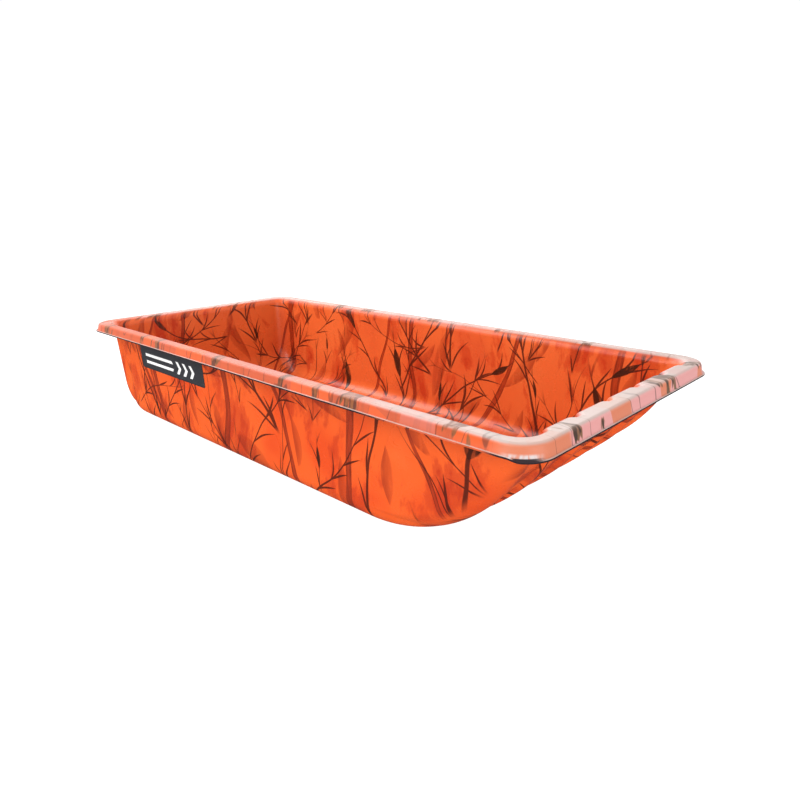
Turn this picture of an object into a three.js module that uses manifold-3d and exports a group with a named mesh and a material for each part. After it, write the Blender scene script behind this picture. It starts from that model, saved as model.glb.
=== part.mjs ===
// An ice fishing sled: one plastic sheet drawn into a tub with a rim and runners, and a sticker on its side.
// Millimetres. X points to the nose, Y to the sled's left and Z up, and the runners stand on Z = 0.
import * as THREE from 'three'
import { mergeVertices } from 'three/addons/utils/BufferGeometryUtils.js'
import Module from 'manifold-3d'

// Overall sizes
const overall_length = 1371.6
const overall_width = 635
const overall_height = 254
const sheet = 3.5

// Hull walls: the set-back from the lip's edge to the outer face, and each wall's lean and arc into the floor
const wall_setback = 38
const nose_lean_deg = 23
const nose_radius = 343
const stern_lean_deg = 4
const stern_radius = 92
const side_lean_deg = 2.5
const chine_radius = 36

// Rim: the inner crest, the outer brow, the fascia below it and the lip that turns out at its foot
const crest_radius = 18
const brow_radius = 7
const fascia_lean_deg = 12
const lip_width = 3.5
const side_rim_drop = 20.5
const nose_rim_drop = 25
const rim_corner_radius = 52

// Runners: channels pressed down through the floor and, shallower, up the nose into the rim's level top
const runner_count = 4
const runner_spacing = 100
const runner_foot = 16
const runner_flank = 12
const runner_depth = 10
const runner_depth_on_nose = 7
const runner_stern_gap = 16
const runner_ramp = 30

// Shoulders: near its corners the nose steps out by a channel's depth, over this width
const shoulder_width = 13

// Tow rope holes through the nose, between the runners
const rope_hole_diameter = 14
const rope_hole_below_rim = 49

// Sticker on the right side, near the stern
const sticker_length = 300
const sticker_height = 60
const sticker_thickness = 0.5
const sticker_corner = 4
const sticker_gap = 0.3
const sticker_from_stern = 207
const sticker_below_rim = 35

// How finely the round parts are drawn
const chine_steps = 6
const nose_steps = 7
const crest_steps = 5
const brow_steps = 3
const corner_steps = 8
const hole_sides = 20
const sticker_corner_steps = 4

// The runners reach their depth on the nose at this share of the hull's height
const runner_fade_share = 0.35

// The nose's deeper rim starts within this part of its corner's turn, counted from the nose
const tuck_start_share = 0.62
const tuck_end_share = 0.9

const to_rad = Math.PI / 180
const floor_outside = runner_depth
const crest_centre_height = overall_height - crest_radius

// One wall of the hull: straight at its lean, then an arc that runs out level into the floor
function make_wall(tip, lean_deg, radius, rim_drop) {
  const lean = lean_deg * to_rad
  const arc_rise = radius * (1 - Math.sin(lean))
  const straight_rise = crest_centre_height - floor_outside - arc_rise
  const base = tip - wall_setback - straight_rise * Math.tan(lean) - radius * Math.cos(lean)
  return { tip, lean, radius, rim_drop, base }
}

const nose = make_wall(overall_length / 2, nose_lean_deg, nose_radius, nose_rim_drop)
const stern = make_wall(overall_length / 2, stern_lean_deg, stern_radius, side_rim_drop)
const side = make_wall(overall_width / 2, side_lean_deg, chine_radius, side_rim_drop)
const shoulder_step = runner_depth_on_nose / Math.cos(nose.lean)
nose.base -= shoulder_step

// How far out a wall stands at a height, on its outer face or on a face set in by the inset
function reach_at(wall, height, inset) {
  const rise = height - floor_outside
  const radius = wall.radius - inset
  const arc_end = wall.radius - radius * Math.sin(wall.lean)
  if (rise <= inset) return wall.base
  if (rise > arc_end) return wall.base + radius * Math.cos(wall.lean) + (rise - arc_end) * Math.tan(wall.lean)
  return wall.base + Math.sqrt(Math.max(0, radius ** 2 - (wall.radius - rise) ** 2))
}

// The angle of a wall's outward normal above straight down, at a height
function turn_at(wall, height, inset) {
  const rise = height - floor_outside
  const cosine = (wall.radius - rise) / (wall.radius - inset)
  return Math.min(Math.acos(Math.min(1, Math.max(-1, cosine))), Math.PI / 2 - wall.lean)
}

// A ring's point on one wall; sink is how far a runner presses it out, as a length along X and along Z
function hull_point(wall, height, inset) {
  const turn = turn_at(wall, height, inset)
  const rise_share = (height - floor_outside - inset) / (crest_centre_height - floor_outside - inset)
  const fade = Math.min(1, rise_share / runner_fade_share)
  const depth = THREE.MathUtils.lerp(runner_depth, runner_depth_on_nose, fade)
  const sink = [depth * Math.sin(turn), -depth * Math.cos(turn)]
  return { reach: reach_at(wall, height, inset), height, sink }
}

// The heights of the hull's rings: along the chine's arc, then along the nose's arc, then up to the crest
function hull_heights(inset) {
  const heights = []
  const chine_turn = Math.PI / 2 - side.lean
  for (let i = 0; i <= chine_steps; i++) {
    heights.push(chine_radius - (chine_radius - inset) * Math.cos(chine_turn * i / chine_steps))
  }
  const nose_inner = nose_radius - inset
  const from = Math.acos((nose_radius - heights[chine_steps]) / nose_inner)
  const to = Math.PI / 2 - nose.lean
  for (let i = 1; i <= nose_steps; i++) {
    heights.push(nose_radius - nose_inner * Math.cos(from + (to - from) * i / nose_steps))
  }
  return [...heights.map((rise) => floor_outside + rise), crest_centre_height]
}

// A hull ring's corner, cut from a ball of the chine's radius that rolls along the chine and up the corner
function hull_corner(wall, height, inset) {
  return {
    along: reach_at(wall, height, inset) - reach_at(wall, height, chine_radius),
    across: reach_at(side, height, inset) - reach_at(side, height, chine_radius),
  }
}

function hull_ring(height, inset) {
  return {
    nose: hull_point(nose, height, inset),
    stern: hull_point(stern, height, inset),
    side: hull_point(side, height, inset),
    nose_corner: hull_corner(nose, height, inset),
    stern_corner: hull_corner(stern, height, inset),
    step: shoulder_step,
    inset,
  }
}

// The crest, where a wall turns outward into the level top of the rim, at a share of its turn
function crest_point(wall, radius, share) {
  const centre = reach_at(wall, crest_centre_height, sheet) + crest_radius / Math.cos(wall.lean)
  const turn = THREE.MathUtils.lerp(wall.lean, Math.PI / 2, share)
  const depth = runner_depth_on_nose
  const out = THREE.MathUtils.lerp(depth * Math.cos(wall.lean), depth / Math.cos(wall.lean), share)
  return {
    reach: centre - radius * Math.cos(turn),
    height: crest_centre_height + radius * Math.sin(turn),
    sink: [out, -depth * Math.sin(wall.lean) * (1 - share)],
  }
}

// The brow, where the level top turns down into the leaning fascia, at a share of its turn
function brow_point(wall, radius, share) {
  const lean = fascia_lean_deg * to_rad
  const centre_height = overall_height - brow_radius
  const foot = overall_height - wall.rim_drop + sheet
  const fascia_fall = centre_height + brow_radius * Math.sin(lean) - foot
  const centre = wall.tip - lip_width - fascia_fall * Math.tan(lean) - brow_radius * Math.cos(lean)
  const turn = THREE.MathUtils.lerp(Math.PI / 2, lean, share)
  const height = centre_height + radius * Math.sin(turn)
  return { reach: centre + radius * Math.cos(turn), height, sink: [0, 0] }
}

// The lip's corners: where the fascia's inner face ends, the edge's foot and top, and the fascia's outer foot
function lip_point(wall, corner) {
  const lean = fascia_lean_deg * to_rad
  const foot = overall_height - wall.rim_drop
  const inner_reach = wall.tip - lip_width + sheet * Math.tan(lean) - sheet / Math.cos(lean)
  const places = {
    inner: [inner_reach, foot],
    edge_foot: [wall.tip, foot],
    edge_top: [wall.tip, foot + sheet],
    outer: [wall.tip - lip_width, foot + sheet],
  }
  return { reach: places[corner][0], height: places[corner][1], sink: [0, 0] }
}

// A rim ring's corner grows from the hull's corner below it to the rim's own, as the ring nears the lip
function rim_corner(wall, point, side_point, inset) {
  const start = hull_corner(wall, crest_centre_height, inset)
  const out_share = (from_wall, to) => {
    const inner = reach_at(from_wall, crest_centre_height, inset)
    return THREE.MathUtils.clamp((to.reach - inner) / (from_wall.tip - inner), 0, 1)
  }
  return {
    along: THREE.MathUtils.lerp(start.along, rim_corner_radius, out_share(wall, point)),
    across: THREE.MathUtils.lerp(start.across, rim_corner_radius, out_share(side, side_point)),
  }
}

function rim_ring(point_on, step, inset, tucked) {
  const ring = { nose: point_on(nose), stern: point_on(stern), side: point_on(side), step, inset, tucked }
  ring.nose_corner = rim_corner(nose, ring.nose, ring.side, inset)
  ring.stern_corner = rim_corner(stern, ring.stern, ring.side, inset)
  return ring
}

// The rings along one of the rim's arcs, on its outer face or on the inner face, set in by the sheet
function arc_rings(point_at, radius, arc_steps, step, inset) {
  const shares = Array.from({ length: arc_steps + 1 }, (_, i) => i / arc_steps)
  return shares.map((share) => rim_ring((wall) => point_at(wall, radius, share), step, inset, false))
}

// All rings in order: up the outside, under the rim, round the lip, over the top and down the inside
function tub_rings() {
  const lip_corners = ['inner', 'edge_foot', 'edge_top', 'outer']
  return [
    ...hull_heights(0).map((height) => hull_ring(height, 0)),
    ...arc_rings(crest_point, crest_radius - sheet, crest_steps, shoulder_step, 0),
    ...arc_rings(brow_point, brow_radius - sheet, brow_steps, 0, 0),
    ...lip_corners.map((corner) => rim_ring((wall) => lip_point(wall, corner), 0, 0, true)),
    ...arc_rings(brow_point, brow_radius, brow_steps, 0, sheet).reverse(),
    ...arc_rings(crest_point, crest_radius, crest_steps, shoulder_step, sheet).reverse(),
    ...hull_heights(sheet).map((height) => hull_ring(height, sheet)).reverse(),
  ]
}

// The edges of the shoulders and runners, from right to left, each with its share of the shoulders' step and
// of the runners' depth; on the inner face runners close in, so that the sheet keeps its thickness round them
function floor_edges(inset) {
  const flank_turn = Math.atan2(runner_depth, runner_flank)
  const close_in = inset * Math.tan(flank_turn / 2)
  const crest = runner_foot / 2 - close_in
  const edge = runner_foot / 2 + runner_flank - close_in
  const edges = [[-side.base, 1, 0], [shoulder_width - side.base, 0, 0]]
  for (let i = 0; i < runner_count; i++) {
    const centre = (i - (runner_count - 1) / 2) * runner_spacing
    edges.push([centre - edge, 0, 0], [centre - crest, 0, 1], [centre + crest, 0, 1], [centre + edge, 0, 0])
  }
  edges.push([side.base - shoulder_width, 0, 0], [side.base, 1, 0])
  return edges
}

// Where the runners' stern ends ramp down into the floor
const ramp_start = -stern.base + runner_stern_gap
const ramp_end = ramp_start + runner_ramp

// The points round one corner of a ring, anticlockwise from above: hand is 1 on the left and -1 on the right
function corner_points(ring, is_nose, hand) {
  const [end, size] = is_nose ? [ring.nose, ring.nose_corner] : [ring.stern, ring.stern_corner]
  const reach = is_nose ? end.reach + ring.step : end.reach
  const [centre_x, centre_y] = [reach - size.along, ring.side.reach - size.across]
  const from_end = is_nose === (hand === 1)
  const points = []
  for (let i = 1; i < corner_steps; i++) {
    const share = from_end ? i / corner_steps : 1 - i / corner_steps
    const turn = share * Math.PI / 2
    const tuck = 1 - THREE.MathUtils.smoothstep(share, tuck_start_share, tuck_end_share)
    const end_share = ring.tucked ? tuck : Math.cos(turn) ** 2
    const x = centre_x + size.along * Math.cos(turn)
    const y = centre_y + size.across * Math.sin(turn)
    points.push([is_nose ? x : -x, hand * y, THREE.MathUtils.lerp(ring.side.height, end.height, end_share)])
  }
  return points
}

// The points of one ring, anticlockwise from above, from the nose round by the left side and the stern
function ring_outline(ring) {
  const edges = floor_edges(ring.inset)
  const nose_half = ring.side.reach - ring.nose_corner.across
  const stern_half = ring.side.reach - ring.stern_corner.across
  const nose_end = ring.nose.reach + ring.step - ring.nose_corner.along
  const stern_end = ring.stern_corner.along - ring.stern.reach
  const [out, down] = ring.nose.sink
  const nose_points = [[-nose_half, 1, 0], ...edges, [nose_half, 1, 0]].map(([y, step_share, share]) => {
    return [ring.nose.reach + ring.step * step_share + out * share, y, ring.nose.height + down * share]
  })
  const stern_points = [stern_half, ...edges.map(([y]) => -y), -stern_half].map((y) => {
    return [-ring.stern.reach, y, ring.stern.height]
  })
  const side_points = (hand) => [nose_end, ramp_end, ramp_start, stern_end].map((x) => {
    return [x, hand * ring.side.reach, ring.side.height]
  })
  return [
    ...nose_points,
    ...corner_points(ring, true, 1),
    ...side_points(1),
    ...corner_points(ring, false, 1),
    ...stern_points,
    ...corner_points(ring, false, -1),
    ...side_points(-1).reverse(),
    ...corner_points(ring, true, -1),
  ]
}

// The floor between the lowest points of the walls, as rows of points from the nose to the stern
function floor_rows(ring) {
  const half = ring.side.reach
  const across = [[-half, 1, 0], ...floor_edges(ring.inset), [half, 1, 0]]
  const full_sink = ring.nose.sink
  const rows = [
    [ring.nose.reach, ring.step, full_sink],
    [ramp_end, 0, full_sink],
    [ramp_start, 0, [0, 0]],
    [-ring.stern.reach, 0, [0, 0]],
  ]
  return rows.map(([x, step, [out, down]]) => across.map(([y, step_share, share]) => {
    return [x + step * step_share + out * share, y, ring.side.height + down * share]
  }))
}

// A closed geometry, with its shared points merged, as a solid
function to_solid(wasm, geometry) {
  geometry.deleteAttribute('normal')
  geometry.deleteAttribute('uv')
  const merged = mergeVertices(geometry)
  const index = merged.index.array
  const kept = []
  for (let i = 0; i < index.length; i += 3) {
    const [a, b, c] = [index[i], index[i + 1], index[i + 2]]
    if (a !== b && b !== c && c !== a) kept.push(a, b, c)
  }
  const vertProperties = new Float32Array(merged.attributes.position.array)
  return new wasm.Manifold(new wasm.Mesh({ numProp: 3, vertProperties, triVerts: new Uint32Array(kept) }))
}

// The tub's closed skin: bands between neighbouring rings, and the floor's outer and inner faces
function make_tub(wasm) {
  const rings = tub_rings()
  const outlines = rings.map(ring_outline)
  const points = []
  const quad = (a, b, c, d) => points.push(...a, ...b, ...c, ...a, ...c, ...d)
  for (let k = 0; k + 1 < outlines.length; k++) {
    const [ring, next] = [outlines[k], outlines[k + 1]]
    for (let i = 0; i < ring.length; i++) {
      const j = (i + 1) % ring.length
      quad(ring[i], ring[j], next[j], next[i])
    }
  }
  const lay_floor = (rows, facing_up) => {
    for (let i = 0; i + 1 < rows.length; i++) {
      for (let j = 0; j + 1 < rows[i].length; j++) {
        const [a, b, c, d] = [rows[i][j], rows[i][j + 1], rows[i + 1][j + 1], rows[i + 1][j]]
        if (facing_up) quad(a, b, c, d)
        else quad(a, d, c, b)
      }
    }
  }
  lay_floor(floor_rows(rings[0]), false)
  lay_floor(floor_rows(rings[rings.length - 1]), true)
  const skin = new THREE.BufferGeometry()
  skin.setAttribute('position', new THREE.Float32BufferAttribute(points, 3))
  return to_solid(wasm, skin)
}

// A round bar along X that cuts one rope hole; it is twice as long as the leaning wall is deep over the hole
function make_hole_cutter(wasm, y) {
  const height = overall_height - rope_hole_below_rim
  const radius = rope_hole_diameter / 2
  const wall_depth = sheet / Math.cos(nose.lean) + rope_hole_diameter * Math.tan(nose.lean)
  const bar = new THREE.CylinderGeometry(radius, radius, 2 * wall_depth, hole_sides)
  bar.rotateZ(-Math.PI / 2)
  bar.translate(reach_at(nose, height, sheet / 2), y, height)
  return to_solid(wasm, bar)
}

function to_geometry(solid) {
  const mesh = solid.getMesh()
  const geometry = new THREE.BufferGeometry()
  geometry.setAttribute('position', new THREE.BufferAttribute(new Float32Array(mesh.vertProperties), 3))
  geometry.setIndex(new THREE.BufferAttribute(new Uint32Array(mesh.triVerts), 1))
  geometry.computeVertexNormals()
  return geometry
}

// The sticker: a thin plate with rounded corners that lies on the right side wall
function make_sticker() {
  const [half_length, half_height] = [sticker_length / 2, sticker_height / 2]
  const shape = new THREE.Shape()
  const [x, y] = [half_length - sticker_corner, half_height - sticker_corner]
  shape.absarc(x, -y, sticker_corner, -Math.PI / 2, 0)
  shape.absarc(x, y, sticker_corner, 0, Math.PI / 2)
  shape.absarc(-x, y, sticker_corner, Math.PI / 2, Math.PI)
  shape.absarc(-x, -y, sticker_corner, Math.PI, Math.PI * 3 / 2)
  shape.closePath()
  const geometry = new THREE.ExtrudeGeometry(shape, {
    depth: sticker_thickness,
    bevelEnabled: false,
    curveSegments: sticker_corner_steps,
  })
  geometry.rotateX(Math.PI / 2)
  const material = new THREE.MeshStandardMaterial({ color: 0x35363a, roughness: 0.45, metalness: 0 })
  const mesh = new THREE.Mesh(geometry, material)
  mesh.name = 'side_sticker'
  const height = overall_height - sticker_below_rim - half_height
  const stand_off = sticker_gap / Math.cos(side.lean)
  const centre_x = -overall_length / 2 + sticker_from_stern + half_length
  mesh.position.set(centre_x, -reach_at(side, height, 0) - stand_off, height)
  mesh.rotation.x = side.lean
  return mesh
}

const wasm = await Module()
wasm.setup()

const sled = new THREE.Group()
let tub = make_tub(wasm)
for (const hand of [-1, 1]) {
  tub = tub.subtract(make_hole_cutter(wasm, hand * runner_spacing))
}
const orange_plastic = new THREE.MeshStandardMaterial({ color: 0xf0602a, roughness: 0.35, metalness: 0 })
const tub_mesh = new THREE.Mesh(to_geometry(tub), orange_plastic)
tub_mesh.name = 'tub'
sled.add(tub_mesh, make_sticker())

export default sled
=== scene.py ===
# %% [markdown]
# # An ice fishing sled
# A sled like this is one sheet of plastic. It is warmed, drawn over a mould and trimmed, so its floor,
# runners, walls, nose and rim are one skin of even thickness. The only other piece is the sticker on its
# right side. So this lesson makes two pieces well: a skin lofted from one cross-section, and a thin film.

import math
from types import SimpleNamespace

import bmesh
import bpy
import numpy as np
from mathutils import Matrix, Vector


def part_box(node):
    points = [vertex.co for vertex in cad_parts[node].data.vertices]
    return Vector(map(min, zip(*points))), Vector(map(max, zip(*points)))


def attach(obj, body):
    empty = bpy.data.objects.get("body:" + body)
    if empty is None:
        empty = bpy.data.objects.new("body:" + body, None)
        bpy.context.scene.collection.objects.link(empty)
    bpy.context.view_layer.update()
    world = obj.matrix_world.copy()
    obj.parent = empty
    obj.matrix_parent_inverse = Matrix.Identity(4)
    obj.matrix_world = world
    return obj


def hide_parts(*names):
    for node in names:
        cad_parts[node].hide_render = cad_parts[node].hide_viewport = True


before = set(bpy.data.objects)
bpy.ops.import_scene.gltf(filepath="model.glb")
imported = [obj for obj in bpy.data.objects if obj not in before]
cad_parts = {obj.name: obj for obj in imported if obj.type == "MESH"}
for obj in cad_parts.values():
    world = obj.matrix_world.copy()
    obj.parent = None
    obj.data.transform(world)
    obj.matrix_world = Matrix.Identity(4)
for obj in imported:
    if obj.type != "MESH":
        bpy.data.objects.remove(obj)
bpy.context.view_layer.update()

# %% [markdown]
# ## The camera
# The view is a three-quarter one, from beyond the nose on the sled's right, half a metre above the ground. A
# camera can be aimed by an empty or by angles. Here yaw, pitch and a small roll make its three axes, so that
# the roll stays a named value. The focal length is in pixels, of a picture 800 pixels wide.

# %% Camera
picture_width_px = 800
focal_length_px = 632.05
camera_place = Vector((1.0666, -0.9471, 0.5515))
camera_yaw = math.radians(133.94)
camera_pitch = math.radians(-17.54)
camera_roll = math.radians(-0.83)


def add_object(name, data):
    added = bpy.data.objects.new(name, data)
    bpy.context.scene.collection.objects.link(added)
    return added


def add_camera():
    level = Vector((math.cos(camera_yaw), math.sin(camera_yaw), 0))
    forward = level * math.cos(camera_pitch) + Vector((0, 0, math.sin(camera_pitch)))
    level_right = Vector((math.sin(camera_yaw), -math.cos(camera_yaw), 0))
    level_up = level_right.cross(forward)
    right = level_right * math.cos(camera_roll) + level_up * math.sin(camera_roll)
    up = level_up * math.cos(camera_roll) - level_right * math.sin(camera_roll)
    camera = add_object("camera", bpy.data.cameras.new("camera"))
    camera.data.lens = camera.data.sensor_width * focal_length_px / picture_width_px
    turn = Matrix((right, up, -forward)).transposed().to_4x4()
    camera.matrix_world = Matrix.Translation(camera_place) @ turn
    bpy.context.scene.camera = camera
    return camera


print("lens:", round(add_camera().data.lens, 2), "mm")

# %% [markdown]
# ## The sled's sizes
# The frame gives the outside sizes. The rest are the mould's own: how far each wall stands in from the rim,
# how it leans and how round its foot is. Lengths are in metres, so millimetres are written times mm.

# %% Sizes
mm = 0.001
_, (half_length, half_width, overall_height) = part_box("tub")
sheet = 3.5 * mm
wall_setback = 38 * mm

crest_radius = 18 * mm
brow_radius = 7 * mm
fascia_lean = math.radians(12)
lip_width = 3.5 * mm
lip_round = 0.9 * mm
rim_corner_radius = 52 * mm
side_rim_drop = 20.5 * mm
nose_rim_drop = 25 * mm

runner_count = 4
runner_spacing = 100 * mm
runner_foot = 16 * mm
runner_flank = 12 * mm
runner_depth = 10 * mm
runner_depth_on_nose = 7 * mm
runner_stern_gap = 16 * mm
runner_ramp = 30 * mm
shoulder_width = 13 * mm
rope_hole_diameter = 14 * mm
rope_hole_below_rim = 49 * mm

floor_outside = runner_depth
crest_centre_height = overall_height - crest_radius

runner_fade_share = 0.35
tuck_start_share = 0.62
tuck_end_share = 0.9

chine_steps = 14
nose_steps = 22
crest_steps = 12
brow_steps = 8
corner_steps = 22
flank_steps = 7
shoulder_steps = 5
ramp_steps = 8
lip_round_steps = 3
print("inside floor at", round((floor_outside + sheet) / mm, 1), "mm")

# %% [markdown]
# ## One wall
# Every wall is a straight line at some lean that runs into a round foot. The nose leans most, and its foot
# is so round that it makes the whole curved-up bow. So one function describes all of them, and a wall is
# only a set of numbers. Its inner face is the same curve with a smaller radius, which keeps the sheet's
# thickness even.


# %% Walls
def make_wall(tip, lean_degrees, radius, rim_drop):
    lean = math.radians(lean_degrees)
    arc_rise = radius * (1 - math.sin(lean))
    straight_rise = crest_centre_height - floor_outside - arc_rise
    base = tip - wall_setback - straight_rise * math.tan(lean) - radius * math.cos(lean)
    return SimpleNamespace(tip=tip, lean=lean, radius=radius, rim_drop=rim_drop, base=base)


nose = make_wall(half_length, 23, 343 * mm, nose_rim_drop)
stern = make_wall(half_length, 4, 92 * mm, side_rim_drop)
side = make_wall(half_width, 2.5, 36 * mm, side_rim_drop)
chine_radius = side.radius
shoulder_step = runner_depth_on_nose / math.cos(nose.lean)
nose.base -= shoulder_step


def reach_at(wall, height, inset):
    """How far out a wall stands at a height, on its outer face or on a face set in by the inset."""
    rise = height - floor_outside
    radius = wall.radius - inset
    arc_end = wall.radius - radius * math.sin(wall.lean)
    if rise <= inset:
        return wall.base
    if rise > arc_end:
        return wall.base + radius * math.cos(wall.lean) + (rise - arc_end) * math.tan(wall.lean)
    return wall.base + math.sqrt(max(0, radius**2 - (wall.radius - rise) ** 2))


def turn_at(wall, height, inset):
    """The angle of a wall's outward normal above straight down."""
    cosine = (wall.radius - (height - floor_outside)) / (wall.radius - inset)
    return min(math.acos(min(1, max(-1, cosine))), math.pi / 2 - wall.lean)


print("level floor from", round(-stern.base, 3), "to", round(nose.base, 3), "m")

# %% [markdown]
# ## The rings
# A ring is the sled's outline at one height. There are 130 of them, up the outside, round the rim and down
# the inside, and the skin is lofted through them in order. A loft suits a drawn sheet better than a box with
# bevels: walls, crest and lip stay one surface, and each ring's corners can have their own radius.


# %% Points of a section
def lerp(a, b, share):
    return a + (b - a) * share


def even_shares(count):
    return [i / count for i in range(count + 1)]


def smooth(share):
    share = min(1, max(0, share))
    return share * share * (3 - 2 * share)


def place(reach, height, sink=(0, 0)):
    """A point of a section, and how far a runner presses it out and down."""
    return SimpleNamespace(reach=reach, height=height, sink=sink)


def hull_point(wall, height, inset):
    turn = turn_at(wall, height, inset)
    rise_share = (height - floor_outside - inset) / (crest_centre_height - floor_outside - inset)
    depth = lerp(runner_depth, runner_depth_on_nose, min(1, rise_share / runner_fade_share))
    return place(reach_at(wall, height, inset), height, (depth * math.sin(turn), -depth * math.cos(turn)))


def hull_heights(inset):
    chine_turn = math.pi / 2 - side.lean
    turns = [chine_turn * i / chine_steps for i in range(chine_steps + 1)]
    rises = [chine_radius - (chine_radius - inset) * math.cos(turn) for turn in turns]
    nose_inner = nose.radius - inset
    start = math.acos((nose.radius - rises[-1]) / nose_inner)
    end = math.pi / 2 - nose.lean
    turns = [lerp(start, end, share) for share in even_shares(nose_steps)[1:]]
    rises += [nose.radius - nose_inner * math.cos(turn) for turn in turns]
    return [floor_outside + rise for rise in rises] + [crest_centre_height]


def crest_point(wall, radius, share):
    """The crest turns the wall outward into the level top of the rim."""
    centre = reach_at(wall, crest_centre_height, sheet) + crest_radius / math.cos(wall.lean)
    turn = lerp(wall.lean, math.pi / 2, share)
    depth = runner_depth_on_nose
    out = lerp(depth * math.cos(wall.lean), depth / math.cos(wall.lean), share)
    reach = centre - radius * math.cos(turn)
    height = crest_centre_height + radius * math.sin(turn)
    return place(reach, height, (out, -depth * math.sin(wall.lean) * (1 - share)))


def brow_point(wall, radius, share):
    """The brow turns the level top down into the leaning fascia."""
    centre_height = overall_height - brow_radius
    foot = overall_height - wall.rim_drop + sheet
    fascia_fall = centre_height + brow_radius * math.sin(fascia_lean) - foot
    centre = wall.tip - lip_width - fascia_fall * math.tan(fascia_lean) - brow_radius * math.cos(fascia_lean)
    turn = lerp(math.pi / 2, fascia_lean, share)
    return place(centre + radius * math.cos(turn), centre_height + radius * math.sin(turn))


def lip_sections():
    """The lip's section, as functions of a wall: flat foot, two rounded edges, and the root of the fascia."""
    def foot(wall):
        return overall_height - wall.rim_drop

    def round_edge(share, centre_rise):
        turn = lerp(-math.pi / 2, 0, share) if centre_rise < sheet / 2 else lerp(0, math.pi / 2, share)
        return lambda wall: place(
            wall.tip - lip_round + lip_round * math.cos(turn),
            foot(wall) + centre_rise + lip_round * math.sin(turn),
        )

    inner_back = sheet / math.cos(fascia_lean) - sheet * math.tan(fascia_lean)
    shares = even_shares(lip_round_steps)
    under = [lambda wall: place(wall.tip - lip_width - inner_back, foot(wall))]
    under += [round_edge(share, lip_round) for share in shares]
    over = [round_edge(share, sheet - lip_round) for share in shares]
    over += [lambda wall: place(wall.tip - lip_width, foot(wall) + sheet)]
    return under, over


# %% What the finish needs to know
# The top and edge shares place the painted highlight on the rim's level top and on the lip's top edge.
look_names = ("rim", "top", "edge", "cut", "inside", "clear")
top_starts_share = 0.35
top_grows_share = 0.5
top_lost_share = 0.72


def look(rim=0.0, top=0.0, edge=0.0, cut=0.0, inside=0.0):
    """How much a ring is rim, level top, top edge of the lip, dark underside of the lip or inner face. The
    level top and the lip's top edge get painted highlight, and the lip's dark underside is painted shade.
    """
    return (rim, top, edge, cut, inside)


# %% Rings with their corners
def hull_corner(wall, height, inset):
    """A corner cut from a ball of the chine's radius, which rolls along the chine and up the corner."""
    along, across = (reach_at(w, height, inset) - reach_at(w, height, chine_radius) for w in (wall, side))
    return SimpleNamespace(along=along, across=across)


def rim_corner(wall, point, side_point, inset):
    """A rim ring's corner grows from the hull's own to the rim's, as the ring nears the lip."""
    start = hull_corner(wall, crest_centre_height, inset)

    def out_share(from_wall, to):
        inner = reach_at(from_wall, crest_centre_height, inset)
        return min(1, max(0, (to.reach - inner) / (from_wall.tip - inner)))

    return SimpleNamespace(
        along=lerp(start.along, rim_corner_radius, out_share(wall, point)),
        across=lerp(start.across, rim_corner_radius, out_share(side, side_point)),
    )


def make_ring(point_on, inset, ring_look, step=0.0, tucked=False, corner_at=rim_corner):
    ring = SimpleNamespace(inset=inset, step=step, tucked=tucked, look=ring_look)
    ring.nose, ring.stern, ring.side = (point_on(wall) for wall in (nose, stern, side))
    ring.nose_corner = corner_at(nose, ring.nose, ring.side, inset)
    ring.stern_corner = corner_at(stern, ring.stern, ring.side, inset)
    return ring


def hull_ring(height, inset):
    return make_ring(
        lambda wall: hull_point(wall, height, inset), inset, look(inside=float(inset > 0)), shoulder_step,
        corner_at=lambda wall, *_: hull_corner(wall, height, inset),
    )


def lip_ring(point_on, **looks):
    return make_ring(point_on, 0, look(rim=1.0, **looks), tucked=True)


def arc_rings(point_at, radius, arc_steps, inset, look_at, step=0.0):
    return [
        make_ring(lambda wall, s=s: point_at(wall, radius, s), inset, look_at(s), step)
        for s in even_shares(arc_steps)
    ]


# The top share places the painted sheen on the crest and brow.
def crest_look(share):
    return look(rim=smooth(share), top=smooth((share - top_starts_share) / top_grows_share), inside=1 - share)


def brow_look(share):
    return look(rim=1.0, top=1 - top_lost_share * smooth(share))


def skin_rings():
    """The rings of the outer face up to the lip's foot, and those of the inner face up to the lip's top."""
    under_lip, over_lip = lip_sections()
    outer = [hull_ring(height, 0) for height in hull_heights(0)]
    outer += arc_rings(crest_point, crest_radius - sheet, crest_steps, 0, crest_look, shoulder_step)
    outer += arc_rings(brow_point, brow_radius - sheet, brow_steps, 0, brow_look)
    # Painted shade: the lip's underside and lower edge are marked cut, so they are coloured dark as the shade
    # under the rim.
    outer += [lip_ring(point_on, cut=1.0) for point_on in under_lip]
    inner = [hull_ring(height, sheet) for height in hull_heights(sheet)]
    inner += arc_rings(crest_point, crest_radius, crest_steps, sheet, crest_look, shoulder_step)
    inner += arc_rings(brow_point, brow_radius, brow_steps, sheet, brow_look)
    inner += [lip_ring(over_lip[-1])]
    # Painted highlight: the lip's upper rounded edge is marked edge, which the finish colours cream.
    inner += [lip_ring(point_on, edge=1.0) for point_on in over_lip[-2:0:-1]]
    # Painted shade: the lip's lower outer edge is marked cut too.
    inner += [lip_ring(over_lip[0], cut=1.0)]
    return outer, inner


outer_rings, inner_rings = skin_rings()
print("rings:", len(outer_rings), "outside and", len(inner_rings), "inside")

# %% [markdown]
# ## Round each ring
# The runners are channels in the floor that run on up the nose. They are pressed in the mould, so their
# flanks are eased curves and not creases. Each ring walks from the nose round the left side, the stern and
# the right side. At the nose and stern it has a point wherever a flank bends, so floor and walls meet.

# %% Outline of a ring
ramp_start = -stern.base + runner_stern_gap
ramp_end = ramp_start + runner_ramp
ramp_shares = even_shares(ramp_steps)


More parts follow.
